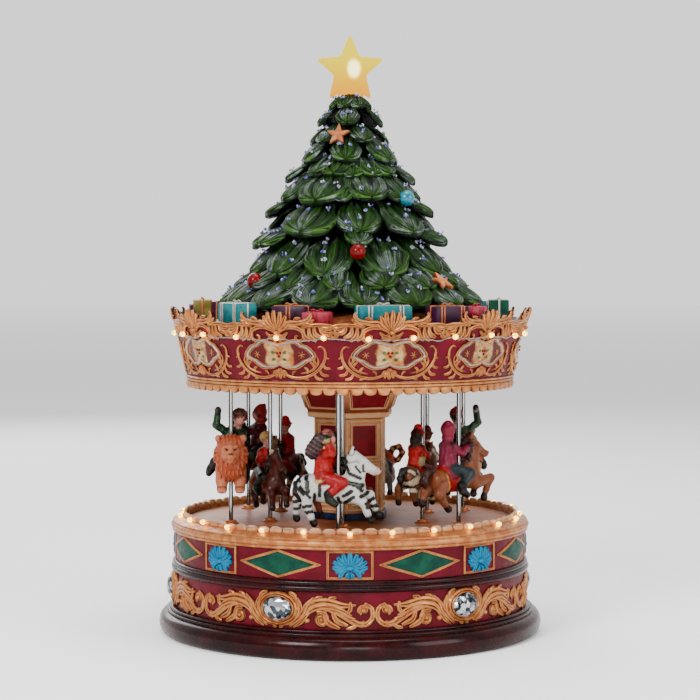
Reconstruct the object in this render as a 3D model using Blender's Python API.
"""Tabletop musical Christmas carousel in painted resin, with a fir tree on its canopy.

Metres, +Z up. The origin is the centre of the plinth's underside and the front is -Y.
The drum stands still. The deck, column, canopy, tree and the twelve poles turn together about +Z,
and each pole slides up and down in the deck with its animal and rider.
"""

import math

import bmesh
import bpy
from mathutils import Matrix, Vector

MM = 0.001
FIT = 0.3
TURN = 2 * math.pi

ROUND_SIDES = 64
PLINTH_RADIUS = 110.0
PLINTH_HEIGHT = 15.8
LOWER_DRUM_RADIUS = 100.5
LOWER_DRUM_TOP = 35.8
MIDDLE_RING_RADIUS = 103.0
MIDDLE_RING_TOP = 42.2
UPPER_DRUM_RADIUS = 100.2
UPPER_DRUM_TOP = 58.3
RIM_RADIUS = 103.0
RIM_INNER_RADIUS = 94.3
RIM_TOP = 65.8
CROWN_RADIUS = 96.2
CROWN_VALLEY = 67.2
CROWN_PEAK = 69.4
SCALLOPS = 80

CRYSTALS = 6
CRYSTAL_FIRST_ANGLE = -22.4
CRYSTAL_HEIGHT = 26.6
CRYSTAL_HALF_WIDTH = 9.1
CRYSTAL_HALF_HEIGHT = 6.7
CRYSTAL_DEPTH = 5.0
CRYSTAL_SIDES = 16

DECK_RADIUS = 93.4
DECK_BOTTOM = 60.3
DECK_TOP = 64.5
PIN_RADIUS = 3.0
PIN_HOLE_RADIUS = 3.3
PIN_SIDES = 16
PIN_TOP = 64.2
PIN_FLANGE_RADIUS = 8.0

COLUMN_RADIUS = 22.0
COLUMN_CORNER_ANGLE = 265.0
COLUMN_STRIP_TOP = 67.6
COLUMN_STRIP_THICKNESS = 0.6
COLUMN_TOP = 123.0
FLARE_LEVELS = ((123.3, 26.0), (125.8, 27.0), (136.5, 31.0), (147.6, 36.0))

CEILING_BOTTOM = 147.9
CEILING_TOP = 150.4
CEILING_RADIUS = 92.5
FRINGE_RADIUS = 94.0
FRINGE_THICKNESS = 3.2
FRINGE_VALLEY = 142.8
FRINGE_TIP = 140.4
WALL_BOTTOM = 147.9
WALL_TOP = 176.6
WALL_LOW_RADIUS = 93.6
WALL_HIGH_RADIUS = 99.6
WALL_THICKNESS_LOW = 0.8
WALL_THICKNESS_HIGH = 4.0
CARTOUCHES = 10
CARTOUCHE_FIRST_ANGLE = 12.8
CREST_BOTTOM = 176.9
CREST_VALLEY = 178.2
CREST_PEAK = 186.5
CREST_SIDES_PER_PEAK = 8
ROOF_RADIUS = 94.9
ROOF_BOTTOM = 173.4
ROOF_EDGE_TOP = 176.3
ROOF_CENTRE_TOP = 178.5

GIFT_RADIUS = 86.0
TREE_BOTTOM = 178.8
TREE_SIDES = 72
TREE_TOP = 312.75
TREE_TRUNK_RADIUS = 30.0
TREE_TIP_RADIUS = 0.5
BRANCH_NOTCH = 0.2
BRANCH_DROOP = 2.5
BRANCH_ROUNDNESS = 0.6
BRANCH_THICKNESS = 2.2
LOW_EDGE_SHARE = 0.94
ROOT_SHARE = 0.72
# Each tier of branches: radius and height of its tips, how many go round it, and the first one's angle
# from the front.
TREE_TIERS = (
    (78.0, 190.0, 16, -3),
    (66.0, 202.0, 12, 4),
    (60.0, 211.0, 12, -11),
    (56.0, 226.0, 12, 5),
    (49.0, 241.0, 10, 13),
    (38.0, 256.0, 12, -3),
    (28.0, 272.0, 8, 10),
    (19.0, 289.0, 6, -3),
    (11.5, 302.0, 6, 5),
)
STAR_CENTRE = 321.6
STAR_RADIUS = 19.0
STAR_NOTCH_RADIUS = 8.55
STAR_CENTRE_THICKNESS = 7.0
STAR_EDGE_THICKNESS = 2.2

WIRE_DIAMETER = 0.7
WIRE_POINTS = 50
LIGHTS = 25
RIM_STRING_RADIUS = 97.3
RIM_STRING_HEIGHT = 66.7
CANOPY_STRING_HEIGHT = 170.0
CANOPY_STRING_SWAG = 1.4
CANOPY_STRING_STANDOFF = 1.25

POLE_RADIUS = 1.2
POLE_SIDES = 8
POLE_HOLE_RADIUS = 1.5
POLE_BOTTOM = 61.0
POLE_TOP = 156.0
COLLAR_RADIUS = 2.7
COLLAR_TOP = 66.0
COLLAR_SINK = 1.5
OUTER_RING = 74.0
INNER_RING = 50.0
CASTING_GRAIN = 0.9
CASTING_FACES = 456
CAM_TILT = 2.0
CAM_HIGH_ANGLE = 130.0


def rgb(red, green, blue):
    """A linear colour from 0-255 screen values."""
    return tuple((value / 255) ** 2.2 for value in (red, green, blue)) + (1.0,)


def material(name, colour, roughness, metallic=0.0):
    found = bpy.data.materials.get(name)
    if found:
        return found
    made = bpy.data.materials.new(name)
    made.use_nodes = True
    shader = made.node_tree.nodes["Principled BSDF"]
    shader.inputs["Base Color"].default_value = colour
    shader.inputs["Roughness"].default_value = roughness
    shader.inputs["Metallic"].default_value = metallic
    made.diffuse_color = colour
    return made


def mahogany():
    return material("mahogany_paint", rgb(58, 22, 20), 0.25)


def burgundy():
    return material("burgundy_paint", rgb(122, 26, 42), 0.35)


def gold():
    return material("aged_gold_paint", rgb(196, 140, 84), 0.4, 0.6)


def copper():
    return material("copper_paint", rgb(160, 92, 62), 0.4, 0.4)


def navy():
    return material("navy_paint", rgb(28, 38, 62), 0.4)


def crystal():
    return material("clear_crystal", rgb(225, 232, 238), 0.05)


def fir():
    return material("fir_green_paint", rgb(24, 62, 44), 0.5)


def glow():
    return material("star_plastic", rgb(250, 205, 70), 0.3)


def chrome():
    return material("chrome", rgb(200, 200, 205), 0.12, 1.0)


def wire():
    return material("silver_wire", rgb(170, 165, 155), 0.3, 0.9)


def on_circle(radius, angle, height):
    """A point in millimetres, with its angle in degrees from +X seen from above."""
    turn = math.radians(angle)
    return Vector((radius * math.cos(turn), radius * math.sin(turn), height))


def front_angle(degrees):
    """Turns an angle counted from the front towards the right into one counted from +X."""
    return degrees - 90


def make_object(name, mesh_builder, surface, smooth_angle=35.0):
    """Names a finished bmesh, in millimetres, as one sub-part in metres."""
    bmesh.ops.scale(mesh_builder, vec=(MM, MM, MM), verts=mesh_builder.verts)
    bmesh.ops.recalc_face_normals(mesh_builder, faces=mesh_builder.faces)
    mesh = bpy.data.meshes.new(name)
    mesh_builder.to_mesh(mesh)
    mesh_builder.free()
    mesh.materials.append(surface)
    mesh.shade_smooth()
    mesh.set_sharp_from_angle(angle=math.radians(smooth_angle))
    made = bpy.data.objects.new(name, mesh)
    bpy.context.scene.collection.objects.link(made)
    return made


def add_rings(builder, rings, closed_section):
    """Skins rings of points. A closed section runs round a tube; an open one gets two flat caps."""
    rows = [[builder.verts.new(point) for point in ring] for ring in rings]
    pairs = list(zip(rows, rows[1:]))
    if closed_section:
        pairs.append((rows[-1], rows[0]))
    for low, high in pairs:
        for index in range(len(low)):
            after = (index + 1) % len(low)
            builder.faces.new((low[index], low[after], high[after], high[index]))
    if not closed_section:
        builder.faces.new(list(reversed(rows[0])))
        builder.faces.new(rows[-1])


def turned(name, outline, surface, hollow, sides=ROUND_SIDES):
    """Turns an outline of (radius, height) points about +Z; a hollow one is a ring."""
    builder = bmesh.new()
    angles = [360 * index / sides for index in range(sides)]
    rings = [[on_circle(radius, angle, height) for angle in angles] for radius, height in outline]
    add_rings(builder, rings, closed_section=hollow)
    return make_object(name, builder, surface)


def waved_ring(name, section, surface, sides):
    """A ring whose section of (radius, height) points is a function of the angle."""
    builder = bmesh.new()
    angles = [360 * index / sides for index in range(sides)]
    columns = [section(angle) for angle in angles]
    rings = [
        [on_circle(radius, angle, height) for (radius, height), angle in zip(row, angles)]
        for row in zip(*columns)
    ]
    add_rings(builder, rings, closed_section=True)
    return make_object(name, builder, surface)


def add_cylinder(builder, centre, radius, bottom, top, sides, top_radius=None):
    """Adds an upright cylinder, or a cone frustum when a top radius is given."""
    rings = []
    for height, size in ((bottom, radius), (top, radius if top_radius is None else top_radius)):
        rings.append([
            Vector((centre[0], centre[1], 0)) + on_circle(size, 360 * index / sides, height)
            for index in range(sides)
        ])
    add_rings(builder, rings, closed_section=False)


def add_limb(builder, start, start_radius, end, end_radius, squash=1.0, sides=8):
    """Adds a tapered rod with domed ends between two points; squash narrows it sideways."""
    start = Vector(start)
    end = Vector(end)
    along = (end - start).normalized()
    sideways = Vector((0, 1, 0)) - along * along.y
    sideways = sideways.normalized() if sideways.length > 0.1 else Vector((1, 0, 0))
    across = along.cross(sideways)
    rings = []
    for centre, radius in (
        (start - along * start_radius * 0.6, start_radius * 0.62),
        (start, start_radius),
        (end, end_radius),
        (end + along * end_radius * 0.6, end_radius * 0.62),
    ):
        ring = []
        for index in range(sides):
            angle = TURN * (index + 0.5) / sides
            ring.append(
                centre
                + sideways * (radius * squash * math.cos(angle))
                + across * (radius * math.sin(angle))
            )
        rings.append(ring)
    add_rings(builder, rings, closed_section=False)


def add_ball(builder, centre, radii, sides=10, rows=5):
    """Adds an ellipsoid with flat poles."""
    centre = Vector(centre)
    rings = []
    for row in range(rows + 1):
        tilt = math.radians(-72 + 144 * row / rows)
        rings.append([
            centre + Vector((
                radii[0] * math.cos(tilt) * math.cos(TURN * index / sides),
                radii[1] * math.cos(tilt) * math.sin(TURN * index / sides),
                radii[2] * math.sin(tilt),
            ))
            for index in range(sides)
        ])
    add_rings(builder, rings, closed_section=False)


def helper_object(builder):
    """A bare closed mesh in metres, used by a Boolean and then removed."""
    bmesh.ops.scale(builder, vec=(MM, MM, MM), verts=builder.verts)
    bmesh.ops.recalc_face_normals(builder, faces=builder.faces)
    mesh = bpy.data.meshes.new("helper")
    builder.to_mesh(mesh)
    builder.free()
    made = bpy.data.objects.new("helper", mesh)
    bpy.context.scene.collection.objects.link(made)
    return made


def combine(target, helper, operation, crossing=True):
    """Runs one exact Boolean on the target and removes the helper; crossing says that shapes overlap."""
    step = target.modifiers.new("step", "BOOLEAN")
    step.operation = operation
    step.solver = "EXACT"
    step.use_self = crossing
    step.object = helper
    graph = bpy.context.evaluated_depsgraph_get()
    result = bpy.data.meshes.new_from_object(target.evaluated_get(graph))
    target.modifiers.clear()
    old = target.data
    result.name = target.name
    target.data = result
    bpy.data.meshes.remove(old)
    bpy.data.objects.remove(helper)


def cast_in_one(target):
    """Melts overlapping shapes into one skin and thins its faces, as a resin casting of them all."""
    melt = target.modifiers.new("melt", "REMESH")
    melt.mode = "VOXEL"
    melt.voxel_size = CASTING_GRAIN * MM
    graph = bpy.context.evaluated_depsgraph_get()
    faces = len(target.evaluated_get(graph).data.polygons)
    thin = target.modifiers.new("thin", "DECIMATE")
    thin.ratio = CASTING_FACES / (2 * faces)
    thin.use_collapse_triangulate = True
    graph.update()
    result = bpy.data.meshes.new_from_object(target.evaluated_get(graph))
    target.modifiers.clear()
    drop_crumbs(result)
    result.name = target.name
    target.data = result


def drop_crumbs(mesh):
    """Keeps only the largest connected body of a mesh."""
    builder = bmesh.new()
    builder.from_mesh(mesh)
    bodies = []
    unseen = set(builder.verts)
    while unseen:
        body = []
        waiting = [unseen.pop()]
        while waiting:
            point = waiting.pop()
            body.append(point)
            for edge in point.link_edges:
                neighbour = edge.other_vert(point)
                if neighbour in unseen:
                    unseen.remove(neighbour)
                    waiting.append(neighbour)
        bodies.append(body)
    bodies.sort(key=len)
    for body in bodies[:-1]:
        bmesh.ops.delete(builder, geom=body, context="VERTS")
    builder.to_mesh(mesh)
    builder.free()


def pole_places():
    """Ring name, ring radius and angle of each of the twelve poles."""
    for ring_name, radius in (("outer", OUTER_RING), ("inner", INNER_RING)):
        for place in range(6):
            yield ring_name, radius, 25 + 60 * place


def drill_pole_holes(target, bottom, top, centre_radius=None):
    """Drills a hole round each pole, and one in the middle where a radius for it is given."""
    builder = bmesh.new()
    for _, ring, angle in pole_places():
        add_cylinder(builder, on_circle(ring, angle, 0), POLE_HOLE_RADIUS, bottom, top, POLE_SIDES)
    if centre_radius:
        add_cylinder(builder, (0, 0), centre_radius, bottom, top, PIN_SIDES)
    combine(target, helper_object(builder), "DIFFERENCE")


def build_drum():
    top = PLINTH_HEIGHT
    radius = PLINTH_RADIUS
    turned("plinth", (
        (radius - 3.6, 0.0),
        (radius - 1.3, 1.6),
        (radius, 6.8),
        (radius - 1.8, 11.2),
        (radius - 4.2, 12.9),
        (radius - 6.2, 14.4),
        (radius - 8.0, top),
    ), mahogany(), hollow=False)
    turned("lower_drum", (
        (LOWER_DRUM_RADIUS, top + FIT),
        (LOWER_DRUM_RADIUS, LOWER_DRUM_TOP),
    ), burgundy(), hollow=False)
    low = LOWER_DRUM_TOP + FIT
    radius = MIDDLE_RING_RADIUS
    turned("middle_ring", (
        (radius - 1.6, low),
        (radius, low + 1.5),
        (radius - 0.7, low + 3.2),
        (radius - 1.4, low + 4.2),
        (radius - 2.6, MIDDLE_RING_TOP),
    ), mahogany(), hollow=False)
    turned("upper_drum", (
        (UPPER_DRUM_RADIUS, MIDDLE_RING_TOP + FIT),
        (UPPER_DRUM_RADIUS, UPPER_DRUM_TOP),
    ), burgundy(), hollow=False)


def build_rim():
    low = UPPER_DRUM_TOP + FIT
    turned("rim_moulding", (
        (RIM_INNER_RADIUS, low),
        (RIM_RADIUS - 1.4, low),
        (RIM_RADIUS, low + 3.6),
        (RIM_RADIUS - 1.6, low + 5.8),
        (RIM_RADIUS - 4.6, RIM_TOP),
        (RIM_INNER_RADIUS, RIM_TOP),
    ), gold(), hollow=True)

    def section(angle):
        rise = abs(math.sin(math.radians(angle * SCALLOPS / 2)))
        top = CROWN_VALLEY + (CROWN_PEAK - CROWN_VALLEY) * rise
        middle = (CROWN_RADIUS + RIM_INNER_RADIUS) / 2
        return ((RIM_INNER_RADIUS, RIM_TOP + FIT), (CROWN_RADIUS, RIM_TOP + FIT), (middle, top))

    waved_ring("rim_crown", section, copper(), sides=SCALLOPS * 2)


def build_crystals():
    for number in range(CRYSTALS):
        angle = front_angle(CRYSTAL_FIRST_ANGLE + 360 / CRYSTALS * number)
        outward = on_circle(1, angle, 0)
        sideways = Vector((-outward.y, outward.x, 0))
        centre = outward * (LOWER_DRUM_RADIUS + FIT) + Vector((0, 0, CRYSTAL_HEIGHT))
        builder = bmesh.new()
        rings = []
        for depth, size in ((0.0, 1.0), (CRYSTAL_DEPTH / 2, 1.0), (CRYSTAL_DEPTH, 0.5)):
            ring = []
            for index in range(CRYSTAL_SIDES):
                turn = TURN * index / CRYSTAL_SIDES
                ring.append(
                    centre + outward * depth
                    + sideways * (CRYSTAL_HALF_WIDTH * size * math.cos(turn))
                    + Vector((0, 0, CRYSTAL_HALF_HEIGHT * size * math.sin(turn)))
                )
            rings.append(ring)
        add_rings(builder, rings, closed_section=False)
        make_object(f"crystal_{number + 1}", builder, crystal(), smooth_angle=5.0)


def build_turntable():
    flange_bottom = UPPER_DRUM_TOP + FIT
    turned("turntable_pin", (
        (PIN_FLANGE_RADIUS, flange_bottom),
        (PIN_FLANGE_RADIUS, DECK_BOTTOM - FIT),
        (PIN_RADIUS, DECK_BOTTOM - FIT),
        (PIN_RADIUS, PIN_TOP),
    ), chrome(), hollow=False, sides=PIN_SIDES)
    deck = turned("deck", (
        (DECK_RADIUS, DECK_BOTTOM),
        (DECK_RADIUS, DECK_TOP),
    ), copper(), hollow=False)
    builder = bmesh.new()
    for _, ring, angle in pole_places():
        bottom = DECK_TOP - COLLAR_SINK
        centre = on_circle(ring, angle, 0)
        add_cylinder(builder, centre, COLLAR_RADIUS, bottom, COLLAR_TOP, POLE_SIDES, COLLAR_RADIUS - 0.5)
    combine(deck, helper_object(builder), "UNION")
    drill_pole_holes(deck, DECK_BOTTOM - 2, COLLAR_TOP + 2, centre_radius=PIN_HOLE_RADIUS)


def hexagon(radius, height):
    return [on_circle(radius, COLUMN_CORNER_ANGLE + 60 * corner, height) for corner in range(6)]


def build_column():
    builder = bmesh.new()
    strip_bottom = DECK_TOP + FIT
    add_rings(builder, [
        hexagon(COLUMN_RADIUS + COLUMN_STRIP_THICKNESS, strip_bottom),
        hexagon(COLUMN_RADIUS + COLUMN_STRIP_THICKNESS, COLUMN_STRIP_TOP),
    ], closed_section=False)
    make_object("column_foot", builder, navy())
    builder = bmesh.new()
    add_rings(builder, [
        hexagon(COLUMN_RADIUS, COLUMN_STRIP_TOP + FIT),
        hexagon(COLUMN_RADIUS, COLUMN_TOP),
    ], closed_section=False)
    make_object("column_shaft", builder, gold())
    builder = bmesh.new()
    add_rings(builder, [hexagon(radius, height) for height, radius in FLARE_LEVELS], closed_section=False)
    make_object("column_flare", builder, gold())


def wall_radius(height):
    """The canopy wall's outer radius at a height."""
    rise = (height - WALL_BOTTOM) / (WALL_TOP - WALL_BOTTOM)
    return WALL_LOW_RADIUS + (WALL_HIGH_RADIUS - WALL_LOW_RADIUS) * rise


def build_canopy():
    ceiling = turned("canopy_ceiling", (
        (CEILING_RADIUS, CEILING_BOTTOM),
        (CEILING_RADIUS, CEILING_TOP),
    ), burgundy(), hollow=False)
    drill_pole_holes(ceiling, CEILING_BOTTOM - 2, CEILING_TOP + 2)

    def fringe_section(angle):
        drop = abs(math.sin(math.radians(angle * SCALLOPS / 2)))
        bottom = FRINGE_VALLEY - (FRINGE_VALLEY - FRINGE_TIP) * drop
        top = CEILING_BOTTOM - FIT
        return (
            (FRINGE_RADIUS - 0.6, bottom),
            (FRINGE_RADIUS, top),
            (FRINGE_RADIUS - FRINGE_THICKNESS, top),
        )

    waved_ring("canopy_fringe", fringe_section, gold(), sides=SCALLOPS * 2)
    middle = WALL_BOTTOM + 8
    turned("canopy_wall", (
        (WALL_LOW_RADIUS - WALL_THICKNESS_LOW, WALL_BOTTOM),
        (WALL_LOW_RADIUS, WALL_BOTTOM),
        (wall_radius(middle) - 0.4, middle),
        (WALL_HIGH_RADIUS, WALL_TOP),
        (WALL_HIGH_RADIUS - WALL_THICKNESS_HIGH, WALL_TOP),
    ), burgundy(), hollow=True)

    def crest_section(angle):
        turn = math.radians((angle - front_angle(CARTOUCHE_FIRST_ANGLE)) * CARTOUCHES)
        fan = (0.5 + 0.5 * math.cos(turn)) ** 1.4
        top = CREST_VALLEY + (CREST_PEAK - CREST_VALLEY) * fan
        lean = (top - CREST_BOTTOM) * 0.35
        outer = WALL_HIGH_RADIUS - 0.2
        return (
            (outer - 3.2, CREST_BOTTOM),
            (outer, CREST_BOTTOM),
            (outer + lean, top),
            (outer + lean - 2.0, top),
        )

    waved_ring("canopy_crest", crest_section, gold(), sides=CARTOUCHES * CREST_SIDES_PER_PEAK)


# Each gift on the roof: angle from the front, radial shift, width, depth, height and twist in degrees.
GIFTS = (
    (-91, 2, 10, 9, 12, 8),
    (-76, 0, 14, 10, 15, -12),
    (-46, 0, 21, 12, 14, -8),
    (-22, -1.5, 19, 11, 12.8, 4),
    (-11.5, 2, 15, 9, 9.6, -5),
    (12, 0, 29, 12, 13, 3),
    (38, 0, 21, 12, 12.5, -8),
    (53, 1, 11, 9, 12, 10),
    (78, 0, 18, 11, 15, 12),
    (99, 0, 14, 10, 12, -6),
    (119, 0, 20, 12, 13, 6),
    (139, 0, 15, 11, 12, -10),
    (159, 0, 19, 12, 13, 5),
    (180, 0, 16, 10, 11, -4),
    (201, 0, 21, 12, 13, 7),
    (222, 0, 14, 11, 12, -9),
    (241, 0, 17, 11, 13, 4),
)


def build_roof():
    roof = turned("canopy_roof", (
        (ROOF_RADIUS, ROOF_BOTTOM),
        (ROOF_RADIUS, ROOF_EDGE_TOP),
        (TREE_TRUNK_RADIUS + 4, ROOF_CENTRE_TOP),
    ), gold(), hollow=False)
    builder = bmesh.new()
    for angle, shift, width, depth, height, twist in GIFTS:
        centre = on_circle(GIFT_RADIUS + shift, front_angle(angle), ROOF_EDGE_TOP - 1.0 + height / 2)
        box = bmesh.ops.create_cube(builder, size=1.0)
        place = (
            Matrix.Translation(centre)
            @ Matrix.Rotation(math.radians(front_angle(angle) + twist), 4, "Z")
            @ Matrix.Diagonal((depth, width, height, 1))
        )
        bmesh.ops.transform(builder, matrix=place, verts=box["verts"])
    combine(roof, helper_object(builder), "UNION")


def branch_shape(angle, branches, first):
    """One at the middle of a branch and zero between two branches."""
    turn = math.radians((angle - front_angle(first)) * branches / 2)
    return abs(math.cos(turn)) ** BRANCH_ROUNDNESS


def build_tree():
    """Tiers of branches over a trunk: a tier has a round ring at its root and two ragged ones at its tips."""
    angles = [360 * index / TREE_SIDES for index in range(TREE_SIDES)]

    def round_ring(radius, height):
        return [on_circle(radius, angle, height) for angle in angles]

    rings = [round_ring(TREE_TRUNK_RADIUS, TREE_BOTTOM)]
    root = (TREE_TRUNK_RADIUS + 6, TREE_BOTTOM + 6)
    for number, (radius, height, branches, first) in enumerate(TREE_TIERS):
        rings.append(round_ring(*root))
        gaps = [1 - branch_shape(angle, branches, first) for angle in angles]
        for size, shift in ((LOW_EDGE_SHARE, -BRANCH_THICKNESS), (1.0, 0.0)):
            rings.append([
                on_circle(radius * size * (1 - BRANCH_NOTCH * gap), angle, height + shift + BRANCH_DROOP * gap)
                for angle, gap in zip(angles, gaps)
            ])
        if number + 1 < len(TREE_TIERS):
            next_radius, next_height = TREE_TIERS[number + 1][:2]
            root = (next_radius * ROOT_SHARE, next_height)
    rings.append(round_ring(TREE_TIP_RADIUS + 3, TREE_TOP - 3))
    rings.append(round_ring(TREE_TIP_RADIUS, TREE_TOP))
    builder = bmesh.new()
    add_rings(builder, rings, closed_section=False)
    make_object("fir_tree", builder, fir())


def build_star():
    builder = bmesh.new()
    front = []
    back = []
    for corner in range(10):
        radius = STAR_RADIUS if corner % 2 == 0 else STAR_NOTCH_RADIUS
        turn = math.radians(90 + 36 * corner)
        x = radius * math.cos(turn)
        z = STAR_CENTRE + radius * math.sin(turn)
        front.append(builder.verts.new((x, -STAR_EDGE_THICKNESS / 2, z)))
        back.append(builder.verts.new((x, STAR_EDGE_THICKNESS / 2, z)))
    front_centre = builder.verts.new((0, -STAR_CENTRE_THICKNESS / 2, STAR_CENTRE))
    back_centre = builder.verts.new((0, STAR_CENTRE_THICKNESS / 2, STAR_CENTRE))
    for corner in range(10):
        after = (corner + 1) % 10
        builder.faces.new((front[corner], front[after], front_centre))
        builder.faces.new((back[after], back[corner], back_centre))
        builder.faces.new((front[after], front[corner], back[corner], back[after]))
    make_object("tree_star", builder, glow(), smooth_angle=10.0)


def light_string(name, radius_at, height_at):
    """A closed loop of wire round the carousel."""
    curve = bpy.data.curves.new(name, "CURVE")
    curve.dimensions = "3D"
    curve.bevel_depth = WIRE_DIAMETER / 2 * MM
    curve.bevel_resolution = 2
    curve.use_fill_caps = True
    spline = curve.splines.new("POLY")
    spline.points.add(WIRE_POINTS - 1)
    for index, point in enumerate(spline.points):
        angle = 360 * index / WIRE_POINTS
        place = on_circle(radius_at(angle), angle, height_at(angle)) * MM
        point.co = (*place, 1)
    spline.use_cyclic_u = True
    curve.materials.append(wire())
    made = bpy.data.objects.new(name, curve)
    bpy.context.scene.collection.objects.link(made)


def build_light_strings():
    def swag(angle):
        return abs(math.sin(math.radians(angle * LIGHTS / 2)))

    def canopy_height(angle):
        return CANOPY_STRING_HEIGHT - CANOPY_STRING_SWAG * swag(angle)

    light_string("rim_light_string", lambda angle: RIM_STRING_RADIUS, lambda angle: RIM_STRING_HEIGHT)
    light_string(
        "canopy_light_string",
        lambda angle: wall_radius(canopy_height(angle)) + CANOPY_STRING_STANDOFF,
        canopy_height,
    )


# Animals and riders are drawn in millimetres in a frame of their own: x runs forward from the pole,
# y to the inner side and z up from the lowest point of the belly at the pole.
# A gait gives the horse's build and, for each leg, its side, its knee and its hoof as (x, z).
GALLOP = {
    "girth": 1.0,
    "drop": 0.0,
    "hind": ((4.0, (-22.5, 3.2), (-23.5, -6.0)), (-4.0, (-16.5, 1.2), (-13.6, -8.0))),
    "fore": ((4.0, (17.0, 6.6), (20.6, -3.6)), (-4.0, (13.8, 3.4), (17.4, -5.5))),
}
LEAP = {
    "girth": 0.8,
    "drop": 4.0,
    "hind": ((3.6, (-21.5, 0.0), (-24.0, -5.0)), (-3.6, (-18.0, -1.0), (-12.0, -8.6))),
    "fore": ((3.6, (18.8, 7.0), (14.6, -2.0)), (-3.6, (20.8, 6.4), (15.6, -3.8))),
}
TUCKED = {
    "girth": 1.0,
    "drop": 0.0,
    "hind": ((4.0, (-22.0, 3.2), (-22.5, -4.5)), (-4.0, (-17.0, 1.4), (-14.6, -5.5))),
    "fore": ((4.0, (17.0, 5.6), (16.6, -2.6)), (-4.0, (14.0, 3.4), (13.8, -4.6))),
}
HORSE_BACK = 16.6
CAT_BACK = 15.0


def horse_shapes(builder, gait, head_reach):
    """A horse in one of the gaits; the result is the height of its back."""
    girth = gait["girth"]
    drop = gait["drop"]
    add_limb(builder, (-14.5, 0, 10.6 - drop), 7.6 * girth, (7.0, 0, 9.2 - drop / 2), 8.2 * girth, squash=0.8)
    add_limb(builder, (8.0, 0, 12.0 - drop / 2), 6.2 * girth, (10.4, 0, 25.0), 4.0, squash=0.75)
    muzzle = (9.5 + head_reach, 0, 20.0)
    add_limb(builder, (8.6, 0, 27.4), 4.4, muzzle, 2.5, squash=0.75)
    add_limb(builder, (-20.5, 0, 16.0 - drop), 2.4, (-25.0, 0, 7.5 - drop / 2), 1.7)
    for side, knee, hoof in gait["hind"]:
        add_limb(builder, (-15.5, side, 9.0 - drop / 2), 5.0 * girth, (knee[0], side, knee[1]), 2.3)
        add_limb(builder, (knee[0], side, knee[1] + 0.8), 2.2, (hoof[0], side, hoof[1]), 1.9)
    for side, knee, hoof in gait["fore"]:
        add_limb(builder, (8.5, side, 7.0 - drop / 4), 4.2 * girth, (knee[0], side, knee[1]), 2.3)
        add_limb(builder, (knee[0], side, knee[1] + 0.8), 2.2, (hoof[0], side, hoof[1]), 1.9)
    return HORSE_BACK - drop


def cat_shapes(builder, maned):
    """A lion with a mane, or a tiger with a curled tail; the result is the height of its back."""
    add_limb(builder, (-14.0, 0, 9.6), 6.8, (7.0, 0, 9.6), 7.4, squash=0.86)
    if maned:
        add_ball(builder, (13.0, 0, 15.5), (8.0, 9.4, 11.0))
        add_ball(builder, (20.0, 0, 18.0), (4.6, 4.8, 5.0))
    else:
        add_ball(builder, (14.5, 0, 17.5), (6.2, 6.0, 6.2))
        add_limb(builder, (17.5, 0, 16.5), 3.6, (22.0, 0, 15.2), 2.6)
    for side in (4.6, -4.6):
        add_limb(builder, (8.5, side, 8.0), 4.2, (14.5, side, -1.4), 3.1)
        add_limb(builder, (-13.5, side, 8.0), 4.9, (-18.5, side, -1.2), 2.9)
    if maned:
        add_limb(builder, (-19.0, 0, 12.0), 1.9, (-24.0, 0, 3.0), 1.6)
    else:
        tail = [(-18.0, 9.0), (-23.0, 10.5), (-26.0, 15.0), (-23.5, 18.8), (-19.0, 17.0)]
        for (x, z), (next_x, next_z) in zip(tail, tail[1:]):
            add_limb(builder, (x, 0, z), 1.9, (next_x, 0, next_z), 1.8)
    return CAT_BACK


def rider_shapes(builder, seat, manner):
    """A seated rider in a long coat, a little behind the pole.

    A waving rider leans inward with the outer arm raised and the outer leg out, a crouching one holds the
    mane, and one with a sack carries it over the shoulder.
    """
    lean = {"waving": 5.0, "crouching": 3.0}.get(manner, 0.0)

    def at(x, y, z):
        return (x, y, seat + z)

    add_limb(builder, at(-8.2, 0, -1.5), 5.9, at(-7.0, lean / 2, 13.6), 4.2)
    add_limb(builder, at(-6.8, lean / 2, 12.0), 2.6, at(-5.0, lean, 20.0), 2.4)
    add_ball(builder, at(-4.6, lean, 22.2), (4.1, 4.0, 4.6))
    for side in (1, -1):
        if manner == "waving" and side < 0:
            knee, ankle, toe = at(1.5, -9.0, -3.0), at(-0.5, -11.4, -6.6), at(1.4, -12.6, -9.2)
        else:
            knee, ankle, toe = at(3.4, 6.8 * side, -2.6), at(-5.0, 7.9 * side, -9.6), at(-0.4, 8.0 * side, -14.4)
        add_limb(builder, at(-8.0, 4.0 * side, 1.0), 3.4, knee, 2.8)
        add_limb(builder, knee, 2.7, ankle, 2.2)
        add_limb(builder, ankle, 2.2, toe, 1.9)
        shoulder = at(-7.0, 3.8 * side + lean / 2, 12.6)
        elbow, hand = at(-3.4, 5.8 * side, 7.6), at(2.6, 3.6 * side, 8.8)
        if manner == "waving" and side < 0:
            elbow, hand = at(-3.4, -8.2, 18.0), at(-1.6, -7.2, 26.2)
        if manner == "crouching":
            elbow, hand = at(-2.6, 5.6 * side, 9.6), at(5.0, 3.0 * side, 12.4)
        if manner == "sack" and side < 0:
            elbow, hand = at(-3.0, -5.9, 13.4), at(-5.4, -4.2, 19.4)
        add_limb(builder, shoulder, 2.4, elbow, 2.1)
        add_limb(builder, elbow, 2.1, hand, 1.9)
    if manner == "sack":
        add_ball(builder, at(-12.2, -1.0, 18.0), (5.0, 4.6, 6.0))


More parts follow.
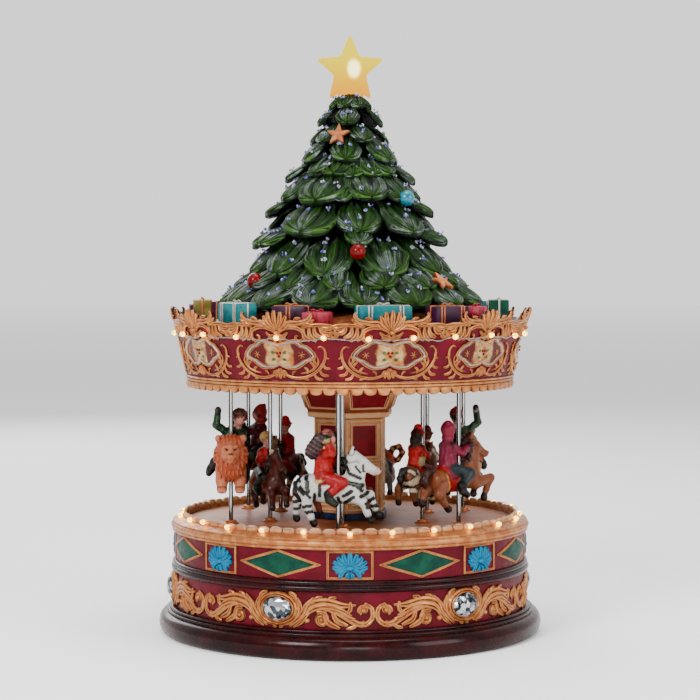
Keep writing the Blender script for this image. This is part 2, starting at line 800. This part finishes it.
# Each figure: name, ring, angle, turn away from the ring's line, belly height above the deck, size, its
# shapes and the rider's manner.
FIGURES = (
    ("zebra_and_rider", "outer", 265, 0, 13.9, 1.0, horse_shapes, (GALLOP, 11.0), "sack"),
    ("lion_and_rider", "outer", 205, -22, 22.7, 1.0, cat_shapes, (True,), "waving"),
    ("black_horse_and_rider", "outer", 145, -12, 22.8, 1.0, horse_shapes, (LEAP, 10.0), "crouching"),
    ("tiger_and_rider", "outer", 85, 0, 16.0, 1.0, cat_shapes, (False,), ""),
    ("tan_lion_and_rider", "outer", 25, -22, 20.0, 1.0, cat_shapes, (True,), "waving"),
    ("chestnut_horse_and_rider", "outer", 325, -15, 19.5, 1.0, horse_shapes, (LEAP, 10.0), "crouching"),
    ("bay_horse_and_rider", "inner", 265, 0, 14.5, 0.86, horse_shapes, (GALLOP, 10.0), ""),
    ("brown_horse_and_rider", "inner", 205, 0, 13.7, 0.86, horse_shapes, (TUCKED, 9.0), ""),
    ("patched_pony_and_rider", "inner", 145, 0, 17.5, 0.86, horse_shapes, (TUCKED, 10.0), ""),
    ("grey_horse_and_rider", "inner", 85, 0, 15.0, 0.86, horse_shapes, (GALLOP, 10.0), ""),
    ("cream_horse_and_rider", "inner", 25, -30, 13.0, 0.86, horse_shapes, (TUCKED, 9.0), ""),
    ("pied_horse_and_rider", "inner", 325, 0, 17.5, 0.86, horse_shapes, (TUCKED, 9.0), ""),
)

FIGURE_COLOURS = {
    "zebra_and_rider": rgb(226, 224, 218),
    "lion_and_rider": rgb(196, 98, 62),
    "black_horse_and_rider": rgb(44, 34, 34),
    "tiger_and_rider": rgb(176, 70, 36),
    "tan_lion_and_rider": rgb(186, 122, 72),
    "chestnut_horse_and_rider": rgb(138, 62, 34),
    "bay_horse_and_rider": rgb(128, 58, 34),
    "brown_horse_and_rider": rgb(74, 28, 26),
    "patched_pony_and_rider": rgb(120, 84, 64),
    "grey_horse_and_rider": rgb(150, 146, 142),
    "cream_horse_and_rider": rgb(206, 184, 150),
    "pied_horse_and_rider": rgb(96, 78, 66),
}


def cam_offset(radius, angle):
    """How far the tilted cam plate lifts a pole at rest above the middle of its stroke."""
    return CAM_TILT * radius / OUTER_RING * math.cos(math.radians(angle - CAM_HIGH_ANGLE))


def build_pole(ring_name, radius, angle):
    offset = cam_offset(radius, angle)
    builder = bmesh.new()
    centre = on_circle(radius, angle, 0)
    add_cylinder(builder, centre, POLE_RADIUS, POLE_BOTTOM + offset, POLE_TOP + offset, POLE_SIDES)
    make_object(f"pole_{ring_name}_{angle}", builder, chrome())


def build_figure(name, ring_name, angle, turn, belly, size, animal_shapes, options, manner):
    """Unites the shapes of one animal and its rider and drills the hole for the pole."""
    builder = bmesh.new()
    back = animal_shapes(builder, *options)
    rider_shapes(builder, back, manner)
    radius = OUTER_RING if ring_name == "outer" else INNER_RING
    # Local x, y, z become forward along the circle, inward and up.
    place = (
        Matrix.Translation(on_circle(radius, angle, DECK_TOP + belly))
        @ Matrix.Rotation(math.radians(angle + 90 + turn), 4, "Z")
        @ Matrix.Scale(size, 4)
    )
    bmesh.ops.transform(builder, matrix=place, verts=builder.verts)
    surface = material(name + "_paint", FIGURE_COLOURS[name], 0.4)
    figure = make_object(name, builder, surface)
    cast_in_one(figure)
    hole = bmesh.new()
    add_cylinder(hole, on_circle(radius, angle, 0), POLE_HOLE_RADIUS, DECK_TOP + 1, CEILING_BOTTOM - 1, POLE_SIDES)
    combine(figure, helper_object(hole), "DIFFERENCE", crossing=False)
    figure.data.set_sharp_from_angle(angle=math.radians(50))


def clear_scene():
    for thing in list(bpy.data.objects):
        bpy.data.objects.remove(thing)


def main():
    clear_scene()
    build_drum()
    build_rim()
    build_crystals()
    build_turntable()
    build_column()
    build_canopy()
    build_roof()
    build_tree()
    build_star()
    build_light_strings()
    for ring_name, radius, angle in pole_places():
        build_pole(ring_name, radius, angle)
    for figure in FIGURES:
        build_figure(*figure)


main()
